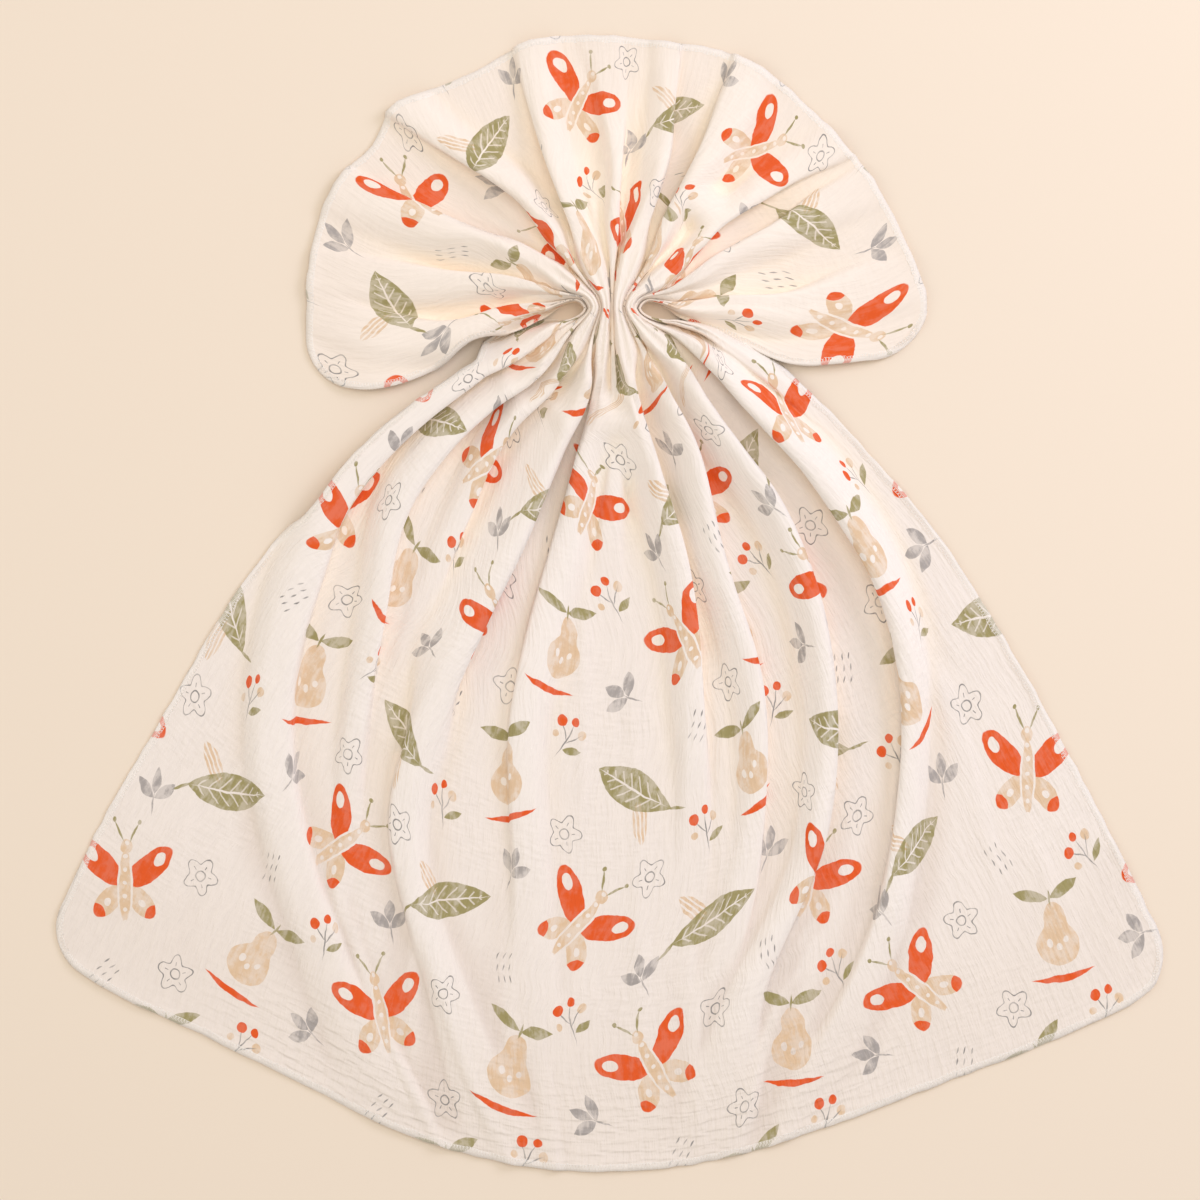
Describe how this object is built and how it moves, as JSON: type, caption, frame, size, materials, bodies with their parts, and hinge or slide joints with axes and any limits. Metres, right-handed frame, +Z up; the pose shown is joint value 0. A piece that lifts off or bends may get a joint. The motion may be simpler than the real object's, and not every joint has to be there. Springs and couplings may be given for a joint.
{
  "type": "swaddle blanket",
  "caption": "Rectangular double-gauze muslin blanket laid flat and gathered across its width into a fan above and a long folded skirt below.",
  "frame": {"origin": "on the resting surface, below the middle of the laid-out cloth's bounding box", "axes": "+Z up from the resting surface, +Y along the cloth from the long skirt to the fan, +X across the cloth to the right as seen from above"},
  "size_m": [1.0723, 1.1013, 0.0421],
  "materials": {
    "cloth": "matte crinkled double gauze"
  },
  "bodies": {
    "root": {"muslin_blanket": "cloth"}
  },
  "joints": []
}
